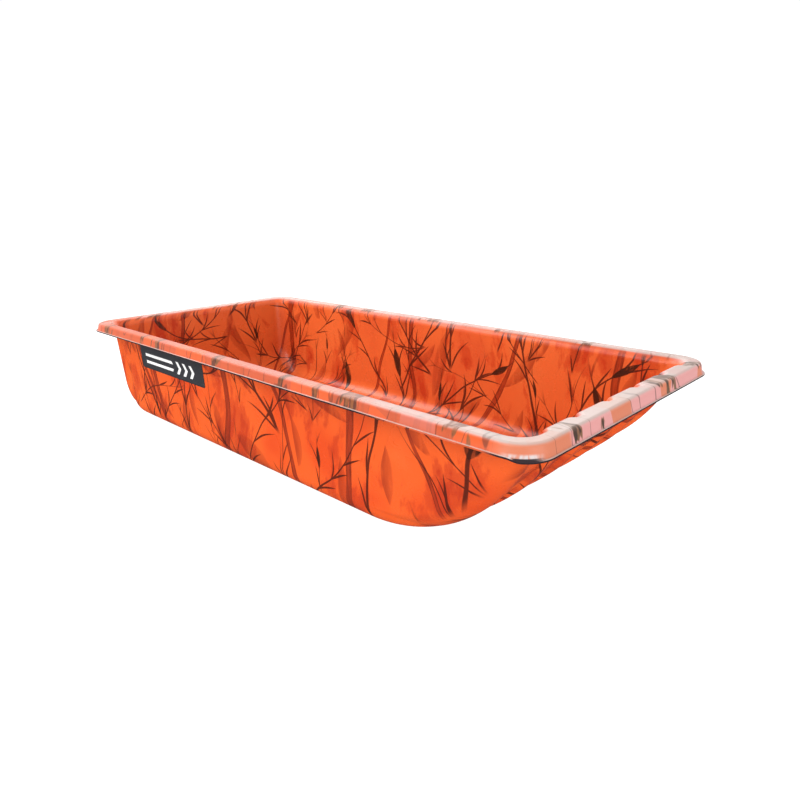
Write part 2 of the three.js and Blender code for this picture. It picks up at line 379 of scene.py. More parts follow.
def floor_profile(inset):
    """Places across the sled, with their shares of the shoulders' step and of a runner's depth."""
    close_in = inset * math.tan(math.atan2(runner_depth, runner_flank) / 2)
    foot = runner_foot / 2 - close_in
    shares = even_shares(flank_steps)
    shoulder = even_shares(shoulder_steps)
    profile = [(shoulder_width * s - side.base, smooth(1 - s), 0) for s in shoulder]
    for i in range(runner_count):
        centre = (i - (runner_count - 1) / 2) * runner_spacing
        profile += [(centre - foot - runner_flank * (1 - s), 0, smooth(s)) for s in shares]
        profile += [(centre + foot + runner_flank * s, 0, smooth(1 - s)) for s in shares]
    return profile + [(side.base - shoulder_width * (1 - s), smooth(s), 0) for s in shoulder]


def corner_points(ring, is_nose, hand):
    end, size = (ring.nose, ring.nose_corner) if is_nose else (ring.stern, ring.stern_corner)
    reach = end.reach + ring.step if is_nose else end.reach
    centre_x, centre_y = reach - size.along, ring.side.reach - size.across
    from_end = is_nose == (hand == 1)
    points = []
    for i in range(1, corner_steps):
        share = i / corner_steps if from_end else 1 - i / corner_steps
        turn = share * math.pi / 2
        tuck = 1 - smooth((share - tuck_start_share) / (tuck_end_share - tuck_start_share))
        end_share = tuck if ring.tucked else math.cos(turn) ** 2
        x = centre_x + size.along * math.cos(turn)
        y = centre_y + size.across * math.sin(turn)
        points.append((x if is_nose else -x, hand * y, lerp(ring.side.height, end.height, end_share), 0, 0))
    return points


def ring_points(ring):
    """Each point of a ring as X, Y and Z and what a runner adds to X and Z, and each stretch's length."""
    profile = floor_profile(ring.inset)
    nose_half = ring.side.reach - ring.nose_corner.across
    stern_half = ring.side.reach - ring.stern_corner.across
    out, down = ring.nose.sink
    across = [(-nose_half, 1, 0), *profile, (nose_half, 1, 0)]
    front = [(ring.nose.reach, y, ring.nose.height, ring.step * t + out * s, down * s) for y, t, s in across]
    back = [(-ring.stern.reach, y, ring.stern.height, 0, 0)
            for y in (stern_half, *(-y for y, _, _ in profile), -stern_half)]
    xs = [ring.nose.reach + ring.step - ring.nose_corner.along]
    xs += [lerp(ramp_end, ramp_start, s) for s in ramp_shares]
    xs += [ring.stern_corner.along - ring.stern.reach]
    left = [(x, ring.side.reach, ring.side.height, 0, 0) for x in xs]
    right = [(x, -ring.side.reach, ring.side.height, 0, 0) for x in reversed(xs)]
    stretches = [
        front, corner_points(ring, True, 1), left, corner_points(ring, False, 1),
        back, corner_points(ring, False, -1), right, corner_points(ring, True, -1),
    ]
    return np.array([p for stretch in stretches for p in stretch]), [len(stretch) for stretch in stretches]


ring_size = len(ring_points(outer_rings[0])[0])
print("points round a ring:", ring_size)

# %% [markdown]
# ## How the print lies
# The print is a film that goes on as a flat sheet, so its map is the sled unfolded like a box: the floor in
# the middle and each wall laid out flat from it. The stern follows on from the left wall, so that the
# corner between them has no seam. At the other corners and at the stern's foot the map jumps, and the
# motifs fade out there. The film stretches where the rim is drawn. So the map runs slower there, and the
# print looks pulled out across it.

# %% Unfolding
rim_print_share = 0.3
seam_fade = 24 * mm
outside_print = SimpleNamespace(turn=-1, shift=(0.83, 1.37))
inside_print = SimpleNamespace(turn=1, shift=(0.11, 0.03))


def unfolded(rings, wall_name):
    """The distance of each ring from the sled's middle, measured along one wall's skin."""
    points = [getattr(ring, wall_name) for ring in rings]
    distance = [points[0].reach]
    for a, b, ring in zip(points, points[1:], rings[1:]):
        step = math.hypot(b.reach - a.reach, b.height - a.height)
        distance.append(distance[-1] + step * (rim_print_share if ring.look[0] > 0 else 1))
    return distance


def ring_map(points, counts, distances):
    """For each edge round a ring, the print's place at its two ends, and for each point how clear of a seam
    it is. Each half of a corner goes with one wall."""
    loop = np.vstack([points[:, :2], points[:1, :2]])
    run = np.concatenate([[0], np.cumsum(np.linalg.norm(np.diff(loop, axis=0), axis=1))])
    starts = np.concatenate([[0], np.cumsum(counts)])
    front, left, right = (starts[i] for i in (0, 2, 6))
    halves = [starts[i] + counts[i] // 2 for i in (1, 3, 5, 7)]
    ahead, aside, up_stern = distances
    places = np.zeros((len(points), 2, 2))
    gap = np.min([np.abs(run[:-1] - run[halves[i]]) for i in (0, 2, 3)], axis=0)
    gap[halves[1]:halves[2]] = np.minimum(gap[halves[1]:halves[2]], up_stern)
    for i in range(len(points)):
        ends = run[[i, i + 1]]
        if i < halves[0] or i >= halves[3]:
            ends = ends - (run[-1] if i >= halves[3] else 0) + points[front, 1]
            places[i] = [(ahead, end) for end in ends]
        elif i < halves[2]:
            places[i] = [(points[left, 0] - (end - run[left]), aside) for end in ends]
        else:
            places[i] = [(points[right, 0] + (end - run[right]), -aside) for end in ends]
    return places, np.clip(gap / seam_fade, 0, 1)


# %% [markdown]
# ## The skin
# The bands between rings and the two faces of the floor are joined into one closed mesh. A modifier could
# thicken a single surface instead, but it would round the lip's foot and the channels wrongly. Here the
# inner face has its own rings, so the sheet is as thick in a flank as on a flat. Each point also keeps six
# values for the finish.


# %% Tub mesh
def add_face(store, corners, uvs):
    store.faces.append(corners)
    store.uvs.extend(uvs)


def keep_values(mesh, name, values):
    mesh.attributes.new(name, "FLOAT", "POINT").data.foreach_set("value", np.array(values, np.float32))


def add_bands(store, rings, film, flip):
    """Lofts one run of rings, and returns where each ring's points begin."""
    first = []
    maps = []
    ways = [unfolded(rings, name) for name in ("nose", "side", "stern")]
    ways[2] = [distance - ways[2][0] for distance in ways[2]]
    for ring, distances in zip(rings, zip(*ways)):
        points, counts = ring_points(ring)
        places, clear = ring_map(points, counts, distances)
        first.append(len(store.points))
        maps.append(places * film.turn + np.array(film.shift))
        store.points.extend((x + out, y, z + down) for x, y, z, out, down in points)
        store.looks.extend((*ring.look, share) for share in clear)
    for k in range(len(rings) - 1):
        for i in range(ring_size):
            j = (i + 1) % ring_size
            corners = [first[k] + i, first[k] + j, first[k + 1] + j, first[k + 1] + i]
            uvs = [maps[k][i][0], maps[k][i][1], maps[k + 1][i][1], maps[k + 1][i][0]]
            if flip:
                corners, uvs = corners[::-1], uvs[::-1]
            add_face(store, corners, uvs)
    return first, maps


def add_floor(store, ring, film, flip):
    """The floor inside a lowest ring: rows from the nose to the stern, with the runners' eased stern ends."""
    half = ring.side.reach
    across = [(-half, 1, 0), *floor_profile(ring.inset), (half, 1, 0)]
    rows = [(ring.nose.reach, ring.step, 1)]
    rows += [(lerp(ramp_end, ramp_start, s), 0, smooth(1 - s)) for s in ramp_shares]
    rows += [(-ring.stern.reach, 0, 0)]
    first = len(store.points)
    for x, step, full in rows:
        depth = ring.nose.sink[1] * full
        store.points.extend((x + step * t, y, ring.side.height + depth * s) for y, t, s in across)
        store.looks.extend([(*ring.look, float(x > -ring.stern.reach))] * len(across))
    for r in range(len(rows) - 1):
        for i in range(len(across) - 1):
            spots = [(r, i), (r + 1, i), (r + 1, i + 1), (r, i + 1)]
            if flip:
                spots.reverse()
            corners = [first + a * len(across) + b for a, b in spots]
            places = np.array([(rows[a][0] + rows[a][1] * across[b][1], across[b][0]) for a, b in spots])
            add_face(store, corners, places * film.turn + np.array(film.shift))


def build_tub():
    store = SimpleNamespace(points=[], looks=[], faces=[], uvs=[])
    outer_first, outer_maps = add_bands(store, outer_rings, outside_print, False)
    inner_first, _ = add_bands(store, inner_rings, inside_print, True)
    for i in range(ring_size):
        j = (i + 1) % ring_size
        a, b = outer_first[-1], inner_first[-1]
        start, end = outer_maps[-1][i]
        add_face(store, [a + i, a + j, b + j, b + i], [start, end, end, start])
    add_floor(store, outer_rings[0], outside_print, False)
    add_floor(store, inner_rings[0], inside_print, True)
    mesh = bpy.data.meshes.new("tub_skin")
    mesh.from_pydata(store.points, [], store.faces)
    mesh.uv_layers.new(name="print_map").data.foreach_set("uv", np.array(store.uvs, np.float32).ravel())
    for name, values in zip(look_names, zip(*store.looks)):
        keep_values(mesh, name, values)
    return mesh


def tidy_skin(mesh):
    """Merges points that meet, drops faces with no area, and turns all faces outward."""
    merge_distance = 0.01 * mm
    work = bmesh.new()
    work.from_mesh(mesh)
    bmesh.ops.remove_doubles(work, verts=work.verts, dist=merge_distance)
    bmesh.ops.dissolve_degenerate(work, edges=work.edges, dist=merge_distance)
    bmesh.ops.recalc_face_normals(work, faces=work.faces)
    open_edges = sum(not edge.is_manifold for edge in work.edges)
    volume = work.calc_volume(signed=True)
    for face in work.faces:
        face.smooth = True
    work.to_mesh(mesh)
    work.free()
    return open_edges, volume


tub = add_object("tub_skin", build_tub())
open_edges, volume = tidy_skin(tub.data)
print("faces:", len(tub.data.polygons), "open edges:", open_edges, "litres:", round(volume * 1000, 3))

# %% [markdown]
# ## The rope's holes
# Two holes in the nose take a tow rope. They are drilled after the moulding, so their edges are cut and not
# drawn. A Boolean modifier drills them in the same way. Then a bevel breaks the two sharp edges of each hole,
# because a truly sharp edge catches no light.

# %% Rope holes
hole_aside = runner_spacing
hole_facets = 48
hole_edge_break = 0.5 * mm
drill_length = 10 * sheet
sharp_edge_turn = 0.7
broken_edge_cut_share = 0.4


def hole_centres():
    height = overall_height - rope_hole_below_rim
    middle = (reach_at(nose, height, 0) + reach_at(nose, height, sheet)) / 2
    return [Vector((middle, hand * hole_aside, height)) for hand in (-1, 1)]


def make_drill():
    """One mesh with a cylinder along X at each hole."""
    work = bmesh.new()
    for centre in hole_centres():
        matrix = Matrix.Translation(centre) @ Matrix.Rotation(math.pi / 2, 4, "Y")
        bmesh.ops.create_cone(
            work, cap_ends=True, segments=hole_facets, radius1=rope_hole_diameter / 2,
            radius2=rope_hole_diameter / 2, depth=drill_length, matrix=matrix,
        )
    mesh = bpy.data.meshes.new("drill")
    work.to_mesh(mesh)
    work.free()
    keep_values(mesh, "cut", [1] * len(mesh.vertices))
    return mesh


def drill_holes(piece):
    drill = add_object("drill", make_drill())
    cutter = piece.modifiers.new("drill", "BOOLEAN")
    cutter.operation = "DIFFERENCE"
    cutter.solver = "EXACT"
    cutter.object = drill
    bpy.context.view_layer.update()
    drilled = bpy.data.meshes.new_from_object(piece.evaluated_get(bpy.context.evaluated_depsgraph_get()))
    piece.modifiers.clear()
    piece.data = drilled
    bpy.data.objects.remove(drill)


def break_hole_edges(mesh):
    """Bevels the edges round each hole, which are those whose two ends lie on the drill's radius."""
    radius = rope_hole_diameter / 2
    slack = 0.02 * mm
    centres = hole_centres()

    def on_rim(vert):
        away = [vert.co - centre for centre in centres]
        return any(abs(math.hypot(a.y, a.z) - radius) < slack and abs(a.x) < drill_length for a in away)

    work = bmesh.new()
    work.from_mesh(mesh)
    edges = [e for e in work.edges if all(map(on_rim, e.verts)) and e.calc_face_angle(0) > sharp_edge_turn]
    bmesh.ops.bevel(work, geom=edges, offset=hole_edge_break, segments=2, profile=0.5, affect="EDGES")
    cut_layer = work.verts.layers.float["cut"]
    for vert in work.verts:
        if any((vert.co - c).length < radius + hole_edge_break * 2 for c in centres):
            vert[cut_layer] = max(vert[cut_layer], 1.0 if on_rim(vert) else broken_edge_cut_share)
    open_count = sum(not edge.is_manifold for edge in work.edges)
    work.to_mesh(mesh)
    work.free()
    return len(edges), open_count


drill_holes(tub)
print("hole edges and open edges:", break_hole_edges(tub.data))

# %% [markdown]
# A long flat wall beside a tight curve shades badly when every corner normal is a plain average. The
# Weighted Normal modifier lets the large flat faces decide, so the walls look flat and the curves round.

# %% Normals
for polygon in tub.data.polygons:
    polygon.use_smooth = True
weighted = tub.modifiers.new("weighted_normals", "WEIGHTED_NORMAL")
weighted.mode = "FACE_AREA"
weighted.keep_sharp = True

# %% [markdown]
# ## Nodes that read like sums
# The print is drawn by formulas. Written as nodes, even a small formula takes many lines. So a field is a
# number that varies over the surface, and adding or multiplying two fields adds the Math node. A stem or a
# blade can then be written as the short sum that it is.


# %% Fields
class Field:
    def __init__(self, tree, socket):
        self.tree = tree
        self.socket = socket

    def math(self, operation, *others):
        return add_node(self.tree, "Math", 0, dict(enumerate((self, *others))), operation=operation)

    def __add__(self, other):
        return self.math("ADD", other)

    def __sub__(self, other):
        return self.math("SUBTRACT", other)

    def __mul__(self, other):
        return self.math("MULTIPLY", other)

    def __truediv__(self, other):
        return self.math("DIVIDE", other)

    def __abs__(self):
        return self.math("ABSOLUTE")

    def flipped(self):
        """One less this field."""
        return self * -1 + 1

    def ramp(self, low, high):
        """From 0 below low to 1 above high, with eased ends."""
        inputs = {"Value": self, "From Min": low, "From Max": high}
        return add_node(self.tree, "MapRange", "Result", inputs, interpolation_type="SMOOTHSTEP")


def feed(tree, node, inputs):
    """Feeds a node's inputs, by name or number, with fields or plain values."""
    for name, value in inputs.items():
        if isinstance(value, Field):
            tree.links.new(value.socket, node.inputs[name])
        else:
            node.inputs[name].default_value = value


def add_node(tree, kind, output, inputs=None, **settings):
    """Adds a node, makes its settings, feeds its inputs and returns one of its outputs as a field."""
    node = tree.nodes.new("ShaderNode" + kind)
    for name, value in settings.items():
        setattr(node, name, value)
    feed(tree, node, inputs or {})
    return Field(tree, node.outputs[output])


def pair(x, y, z=0.0):
    """Two or three fields as one vector."""
    return add_node(x.tree, "CombineXYZ", 0, {0: x, 1: y, 2: z})


def parts(vector):
    """A vector's three fields."""
    first = add_node(vector.tree, "SeparateXYZ", 0, {0: vector})
    return [Field(vector.tree, socket) for socket in first.socket.node.outputs]


def noise(vector, scale, detail=2.0, roughness=0.5):
    inputs = {"Vector": vector, "Scale": scale, "Detail": detail, "Roughness": roughness}
    return add_node(vector.tree, "TexNoise", "Fac", inputs)


def luck(x, y=0.0):
    """Three random numbers from 0 to 1 that stay the same wherever x and y do."""
    return parts(add_node(x.tree, "TexWhiteNoise", "Color", {"Vector": pair(x, y)}))


def cells(vector, width, output, randomness=1.0, feature="F1"):
    """Random cells: by the output, a colour for each, its middle or the distance from its border."""
    inputs = {"Vector": vector, "Scale": 1 / width, "Randomness": randomness}
    return add_node(vector.tree, "TexVoronoi", output, inputs, voronoi_dimensions="2D", feature=feature)


def strips(u, v, lean, spacing, seed):
    """Parallel leaning strips: the places across and along them, the first also in strips, and the row."""
    cosine, sine = math.cos(math.radians(lean)), math.sin(math.radians(lean))
    across, along = u * cosine + v * sine, v * cosine - u * sine
    strip = across / spacing
    return across, along, strip, strip.math("FLOOR") + seed


def near(distance, half, low, high, spare=0.0):
    """1 within a half width and 0 beyond it, fading between two shares of it."""
    return distance.ramp(half * low, half * high + spare).flipped()


def mixed(under, over, share):
    """One colour laid over another by a share. Inputs 6 and 7 and output 2 are the node's colours."""
    inputs = {"Factor": share, 6: under, 7: over}
    return add_node(share.tree, "Mix", 2, inputs, data_type="RGBA")


def layered(colour, layers):
    """Lays colours over one in turn, each by its own share."""
    for over, share in layers:
        colour = mixed(colour, over, share)
    return colour


def ink(*screen):
    """A colour as read off a screen, from 0 to 255, as the linear colour that nodes use."""
    shares = [value / 255 for value in screen]
    return (*(s / 12.92 if s <= 0.04045 else ((s + 0.055) / 1.055) ** 2.4 for s in shares), 1.0)


# %% [markdown]
# ## The print's motifs
# A print for hunting gear breaks up an outline with thin dark lines over soft darker shapes. This one is
# drawn from plain marsh growth: arching reeds with long narrow blades and seed heads, thick stalks, and
# broad blades behind them. A texture image would be the usual way. Formulas stay sharp at any distance, and
# the piece needs no file.


# %% Reeds
hairline = 0.2 * mm
reed_share = 0.72
blade_share = 0.6
headless_share = 0.62
head_middle_share = 0.74
head_half_length_share = 0.085


def reeds(u, v, lean, spacing, width, length, seed, gap, blade_width):
    """Arching tapered stems, one at most in each strip, with long blades and with seed heads near their tips.
    Returns the lines and the heads."""
    _, along, strip, row = strips(u, v, lean, spacing, seed)
    shift, start, _ = luck(row)
    part = along / length + start
    number = part.math("FLOOR") + row * 3.0
    there, wide, bow = luck(row, number)
    rise = part.math("FRACT")
    arch = (rise - 0.5) * (rise - 0.5) * (bow - 0.5) * (spacing * 1.5)
    off = (strip.math("FRACT") - 0.5 - (shift - 0.5) * 0.3) * spacing - arch
    grown = there.math("LESS_THAN", reed_share) * rise.ramp(0.0, 0.05) * rise.ramp(0.8, 1.0).flipped()
    grown = grown * abs(strip.math("FRACT") - 0.5).ramp(0.4, 0.5).flipped()
    half = (wide * 0.8 + 0.5) * (width / 2) * (rise * -0.65 + 1)
    stem = near(abs(off), half, 0.75, 1.25) * grown

    knot = rise * (length / gap)
    side_there, reach, _ = luck(knot.math("FLOOR") + number, off.math("SIGN"))
    share = knot.math("FRACT")
    spread = (share * 0.6 + 0.25) * share * (reach * 0.6 + 0.2) * gap
    blade_half = share.flipped() * share * (blade_width * 2) + hairline
    blade = near(abs(abs(off) - spread) * 0.8, blade_half, 0.75, 1.2)
    blade = blade * side_there.math("LESS_THAN", blade_share) * grown * share.ramp(0.0, 0.05)

    rank = (rise - head_middle_share) / head_half_length_share
    head_half = (rank * rank).flipped() * (width * 1.9)
    head = near(abs(off), head_half, 0.8, 1.1, hairline)
    head = head * wide.math("GREATER_THAN", headless_share) * abs(rank).math("LESS_THAN", 1.0) * grown
    return stem.math("MAXIMUM", blade), head


# %% Stalks
stalk_share = 0.75


def stalks(u, v, lean, spacing, width, seed):
    """Thick stalks from end to end, one at most in each strip. Returns the shape and its shading."""
    across, along, strip, row = strips(u, v, lean, spacing, seed)
    shift, there, wide = luck(row)
    off = (strip.math("FRACT") - 0.5 - (shift - 0.5) * 0.6) * spacing
    half = (wide * 0.7 + 0.6) * (width / 2)
    swell = noise(pair(along * 9.0, row), 1.0, 2.0) * 0.7 + 0.65
    shape = near(abs(off), half * swell, 0.85, 1.1) * there.math("LESS_THAN", stalk_share)
    streak = noise(pair(across * 330.0, along * 16.0, seed), 1.0, 3.0, 0.65)
    side_dark = abs(off).ramp(half * 0.3, half)
    return shape, streak.ramp(0.4, 0.62) * 0.6 + side_dark * 0.4


# %% Blades
blade_scatter = 0.6


def blades(u, v, cell, length, width, seed, share_there):
    """Broad blades, one at most in each cell, each at its own angle. Returns the shape and its shading."""
    spot = pair(u + seed, v)
    centre_u, centre_v, _ = parts(cells(spot, cell, "Position", blade_scatter))
    turn, there, bow = parts(cells(spot, cell, "Color", blade_scatter))
    border = cells(spot, cell, "Distance", blade_scatter, "DISTANCE_TO_EDGE")
    x, y = u + seed - centre_u, v - centre_v
    angle = turn * 1.3 - 0.35
    cosine, sine = angle.math("COSINE"), angle.math("SINE")
    along = y * cosine + x * sine
    across = x * cosine - y * sine - along * along * (bow - 0.5) * (0.9 / length)
    share = along / (length / 2)
    half = (share * share).flipped() * (width / 2)
    shape = near(abs(across), half, 0.8, 1.05, hairline * 2)
    shape = shape * abs(share).math("LESS_THAN", 1.0) * there.math("LESS_THAN", share_there)
    shape = shape * border.ramp(0.0, 0.05)
    veins = noise(pair(across * 260.0, along * 20.0), 1.0, 2.0)
    return shape, across.ramp(half * -1, half) * 0.55 + veins * 0.45


# %% [markdown]
# ## The plastic
# The film is glossy. Stretched over the rim it turns pale and pink, in patches with hard edges, and its lines
# fade. Over that, cream and pink are painted on the rim's level top as a painted highlight, the sheen of the
# bright sky on glossy plastic. It is strongest toward the nose and along the left side, and the lines fade
# under it. The lip's top edge has a painted highlight too. The lip's underside and lower edge are painted
# dark as the shade under the rim, except behind the right front corner, and that corner has a painted grey
# highlight over a painted dark shadow. The rope holes' bores are dark. A new sled is nearly clean, so the
# wear
# stays faint: rubbed feet under the runners, and a fine unevenness in the gloss, as any drawn sheet has.

# %% Colours of the print
base_orange = ink(220, 86, 28)
deep_orange = ink(208, 68, 18)
light_orange = ink(224, 98, 40)
# Painted light: a paler, greyer tint on the inner face that offsets the redder bounce light inside the tub.
inside_bounce_offset = ink(150, 120, 80)
smear_red = ink(170, 42, 14)
blade_red = ink(134, 36, 14)
stalk_red = ink(150, 44, 18)
stem_brown = ink(72, 22, 10)
head_brown = ink(56, 25, 13)
film_peach = ink(174, 71, 27)
film_apricot = ink(193, 106, 65)
# Pink and cream are partly the stretched film's own colour and partly painted sheen on the rim's level top.
stretch_and_sheen_pink = ink(203, 140, 137)
stretch_and_sheen_cream = ink(174, 159, 152)
film_olive = ink(106, 72, 38)
film_dark = ink(52, 34, 26)
# A painted highlight at the right front corner.
corner_highlight_grey = ink(196, 184, 182)
# Dark colour for the rope holes' bores, and painted shade on the lip's underside and at the right front
# corner.
cut_dark_and_painted_shade = ink(36, 22, 28)
rubbed_plastic = ink(206, 136, 104)


# %% Plastic helpers
def start_material(name):
    material = bpy.data.materials.new(name)
    material.use_nodes = True
    tree = material.node_tree
    return material, tree, tree.nodes["Principled BSDF"]


def bumps(layers):
    """A chain of Bump nodes, from pairs of a height field and a depth in metres."""
    below = {}
    for height, depth in layers:
        inputs = {"Height": height, "Distance": depth, **below}
        below["Normal"] = add_node(height.tree, "Bump", "Normal", inputs)
    return below["Normal"]


# %% Print on the walls and floor
broad_blades = ((0.2, 0.19, 0.04, 3.1, 0.62), (0.13, 0.125, 0.026, 8.7, 0.55))
thick_stalks = ((5, 0.31, 15 * mm, 2.0), (-17, 0.43, 11 * mm, 19.0))
# Each bed has a lean, a spacing, a stem's width and length, a seed, and its blades' gap and width.
reed_beds = (
    (14, 0.2, 7.5 * mm, 0.5, 11.0, 0.085, 4.5 * mm),
    (-22, 0.22, 7.0 * mm, 0.44, 37.0, 0.08, 4.5 * mm),
    (38, 0.23, 5.0 * mm, 0.38, 71.0, 0.065, 3.5 * mm),
    (-47, 0.24, 4.5 * mm, 0.35, 53.0, 0.06, 3.5 * mm),
    (70, 0.27, 4.0 * mm, 0.32, 93.0, 0.055, 3 * mm),
    (3, 0.13, 2.6 * mm, 0.3, 29.0, 0.05, 2.4 * mm),
)


def print_colour(spot, flat_u, flat_v, clear, inside):
    """The printed film's colour and how much dark line is at each place."""
    flat = pair(flat_u, flat_v)
    u = flat_u + (noise(flat, 3.5, 1.5) - 0.5) * 0.12
    v = flat_v + (noise(pair(flat_v, flat_u, 4.0), 3.5, 1.5) - 0.5) * 0.12
    tone = noise(spot, 5.0, 3.0)
    smear = noise(pair(u * 13.0 + v * 3.0, v * 4.6 - u * 1.6), 1.0, 7.0, 0.62)
    colour = layered(base_orange, (
        (deep_orange, tone.ramp(0.5, 0.7)),
        (light_orange, tone.ramp(0.3, 0.46).flipped() * 0.6),
        # Painted light: the inner face is tinted paler to offset the redder bounce light inside the tub.
        (inside_bounce_offset, inside * 0.2),
        (smear_red, smear.ramp(0.52, 0.58) * clear * 0.5),
        (smear_red, smear.ramp(0.6, 0.64) * clear * 0.6),
    ))
    grain = noise(pair(u * 60.0, v * 16.0), 1.0, 3.0)
    for cell, length, width, seed, there in broad_blades:
        shape, shade = blades(u, v, cell, length, width, seed, there)
        colour = mixed(colour, blade_red, shape * (shade * 0.6 + 0.2) * grain.ramp(0.2, 0.5) * clear)
    for lean, spacing, width, seed in thick_stalks:
        shape, shade = stalks(u, v, lean, spacing, width, seed)
        colour = layered(colour, (
            (stalk_red, shape * clear * 0.8),
            (stem_brown, shape * shade * clear * 0.75),
        ))
    lines = heads = grain * 0
    for bed in reed_beds:
        line, head = reeds(u, v, *bed)
        lines = lines.math("MAXIMUM", line)
        heads = heads.math("MAXIMUM", head)
    colour = mixed(colour, stem_brown, lines * clear * 0.92)
    colour = mixed(colour, head_brown, heads * clear * (grain.ramp(0.35, 0.55) * 0.35 + 0.62))
    return colour, lines * clear


# %% Print on the rim
patch_width = 68 * mm
pale_right_x = (0.1, 0.5)
pale_left_y = (-0.1, 0.2)
few_marks_x = (0.3, 0.55)
apricot_y = (0.21, 0.22)
corner_x = (0.63, 0.652)
corner_y = (0.276, 0.294)
# At the right front corner, a painted grey highlight on the lip lies above a painted dark shadow.
corner_highlight_z = (overall_height - 16.7 * mm, overall_height - 12.5 * mm)
corner_shadow_z = (overall_height - 20 * mm, overall_height - 18.6 * mm)


def rim_colour(spot, flat_u, flat_v, at_nose, top, edge):
    """The stretched film: patches that cross the rim, with soft brown marks, dark specks and threads, under
    painted sheen on the level top, a painted highlight on the lip's top edge, and a painted highlight over a
    painted shadow at the right front corner.
    """
    flat = pair(flat_u, flat_v)
    first, second, third = parts(cells(flat, patch_width, "Color"))
    x, y, z = parts(spot)
    # The painted sheen on the level top is strongest toward the nose and along the left side.
    pale_right = x.ramp(*pale_right_x) * 0.9
    pale_left = (y - x * 0.25).ramp(*pale_left_y) * 0.62
    pale = pale_right.math("MAXIMUM", pale_left) * (second * 0.4 + 0.8)
    side_film_and_sheen = layered(film_peach, (
        (stretch_and_sheen_pink, first.ramp(0.2, 0.9) * (top * 0.2 + 0.03)),
        (base_orange, second.math("GREATER_THAN", 0.66) * 0.5),
        (stretch_and_sheen_pink, third.math("GREATER_THAN", 0.78) * (top * 0.4 + 0.12)),
        (stretch_and_sheen_cream, top.ramp(0.28, 0.8) * pale),
    ))
    apricot = third.math("GREATER_THAN", 0.94).math("MAXIMUM", (y * -1).ramp(*apricot_y))
    nose_film_and_sheen = layered(stretch_and_sheen_pink, (
        (film_apricot, apricot * 0.85),
        (stretch_and_sheen_cream, top.ramp(0.26, 0.8) * (second * 0.3 + 0.7)),
    ))
    corner = x.ramp(*corner_x) * (y * -1).ramp(*corner_y)
    mark = noise(flat, 17.0, 3.0, 0.6) - corner * 0.08 - x.ramp(*few_marks_x) * 0.02
    fleck = noise(flat, 80.0, 2.0, 0.6)
    thread = abs(noise(flat, 11.0, 2.0) - 0.5)
    # Marks and threads fade under the painted sheen on the level top.
    faint_under_sheen = top * -0.45 + 1
    return layered(side_film_and_sheen, (
        (nose_film_and_sheen, at_nose),
        (film_olive, mark.ramp(0.564, 0.58) * faint_under_sheen),
        (film_dark, fleck.ramp(0.45, 0.5) * mark.ramp(0.568, 0.588) * faint_under_sheen),
        (film_dark, thread.ramp(0.003, 0.008).flipped() * (top * -0.4 + 0.7)),
        # Painted highlight on the lip's top edge.
        (stretch_and_sheen_cream, edge * 0.75),
        # A painted highlight, then a painted shadow, at the right front corner.
        (corner_highlight_grey, corner * z.ramp(*corner_highlight_z).flipped() * fleck.ramp(0.35, 0.55)),
        (cut_dark_and_painted_shade, corner * z.ramp(*corner_shadow_z).flipped()),
    ))


# %% Plastic material
nose_x = (0.6, 0.65)
lip_shade_gap_start_x = (0.36, 0.46)
lip_shade_gap_end_x = (0.6, 0.63)
lip_shade_gap_y = (0.2, 0.3)
rubbed_z = (0.2 * mm, 3 * mm)


def make_plastic():
    material, tree, shader = start_material("printed_plastic")
    looks = [add_node(tree, "Attribute", "Fac", attribute_name=name) for name in look_names]
    rim, top, edge, cut, inside, clear = looks
    flat_u, flat_v, _ = parts(add_node(tree, "UVMap", "UV", uv_map="print_map"))
    spot = add_node(tree, "TexCoord", "Object")
    x, y, z = parts(spot)
    colour, lines = print_colour(spot, flat_u, flat_v, clear, inside)
    at_nose = x.ramp(*nose_x)
    film = rim_colour(spot, flat_u, flat_v, at_nose, top, edge)
    foot = z.ramp(*rubbed_z).flipped()
    scuff = noise(pair(x * 2.5, y * 160.0, z * 40.0), 1.0, 5.0, 0.65)
    rubbed = foot * scuff.ramp(0.42, 0.62) * 0.7
    # Painted shade: the lip's underside is coloured dark as the shade under the rim, except over this stretch
    # behind the right front corner.
    lip_shade_gap = x.ramp(*lip_shade_gap_start_x) * x.ramp(*lip_shade_gap_end_x).flipped() * (y * -1).ramp(*lip_shade_gap_y)
    colour = layered(colour, (
        # The rim's colour: the film's patches and marks, with painted sheen and painted shade.
        (film, rim.ramp(0.05, 0.8) * (at_nose * 0.1 + 0.9)),
        (rubbed_plastic, rubbed),
        # Dark bores of the rope holes, and painted shade on the lip's underside.
        (cut_dark_and_painted_shade, cut.ramp(0.22, 0.32) * (lip_shade_gap * -0.9 + 1)),
    ))

    smudge = noise(spot, 11.0, 4.0, 0.6)
    skin = noise(spot, 420.0, 2.0)
    waves = noise(spot, 9.0, 1.0)
    feed(tree, shader, {
        "Base Color": colour,
        "Roughness": smudge * 0.1 + 0.22 + rubbed * 0.35 + lines * 0.03 + cut * 0.25 + rim * 0.12,
        "Normal": bumps([(waves, 1.2 * mm), (skin, 0.03 * mm), (scuff * foot, 0.2 * mm)]),
        "IOR": 1.5,
        "Specular IOR Level": 0.3,
    })
    print("plastic nodes:", len(tree.nodes))
    return material


tub.data.materials.append(make_plastic())
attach(tub, "root")
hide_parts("tub")

# %% [markdown]
# ## The sticker
# It is a charcoal film, pressed on by hand under the right rim. A film has soft edges and never lies quite
# flat, so it is a fine grid with rounded corners that follows the wall and swells a little. Its print is
# plain direction marks.

# %% Sticker mesh
sticker_corner = 4 * mm
sticker_thickness = 0.5 * mm
sticker_columns = 90
sticker_rows = 20
film_swell = 0.1 * mm
film_edge = 0.8 * mm
thin_edge_share = 0.6


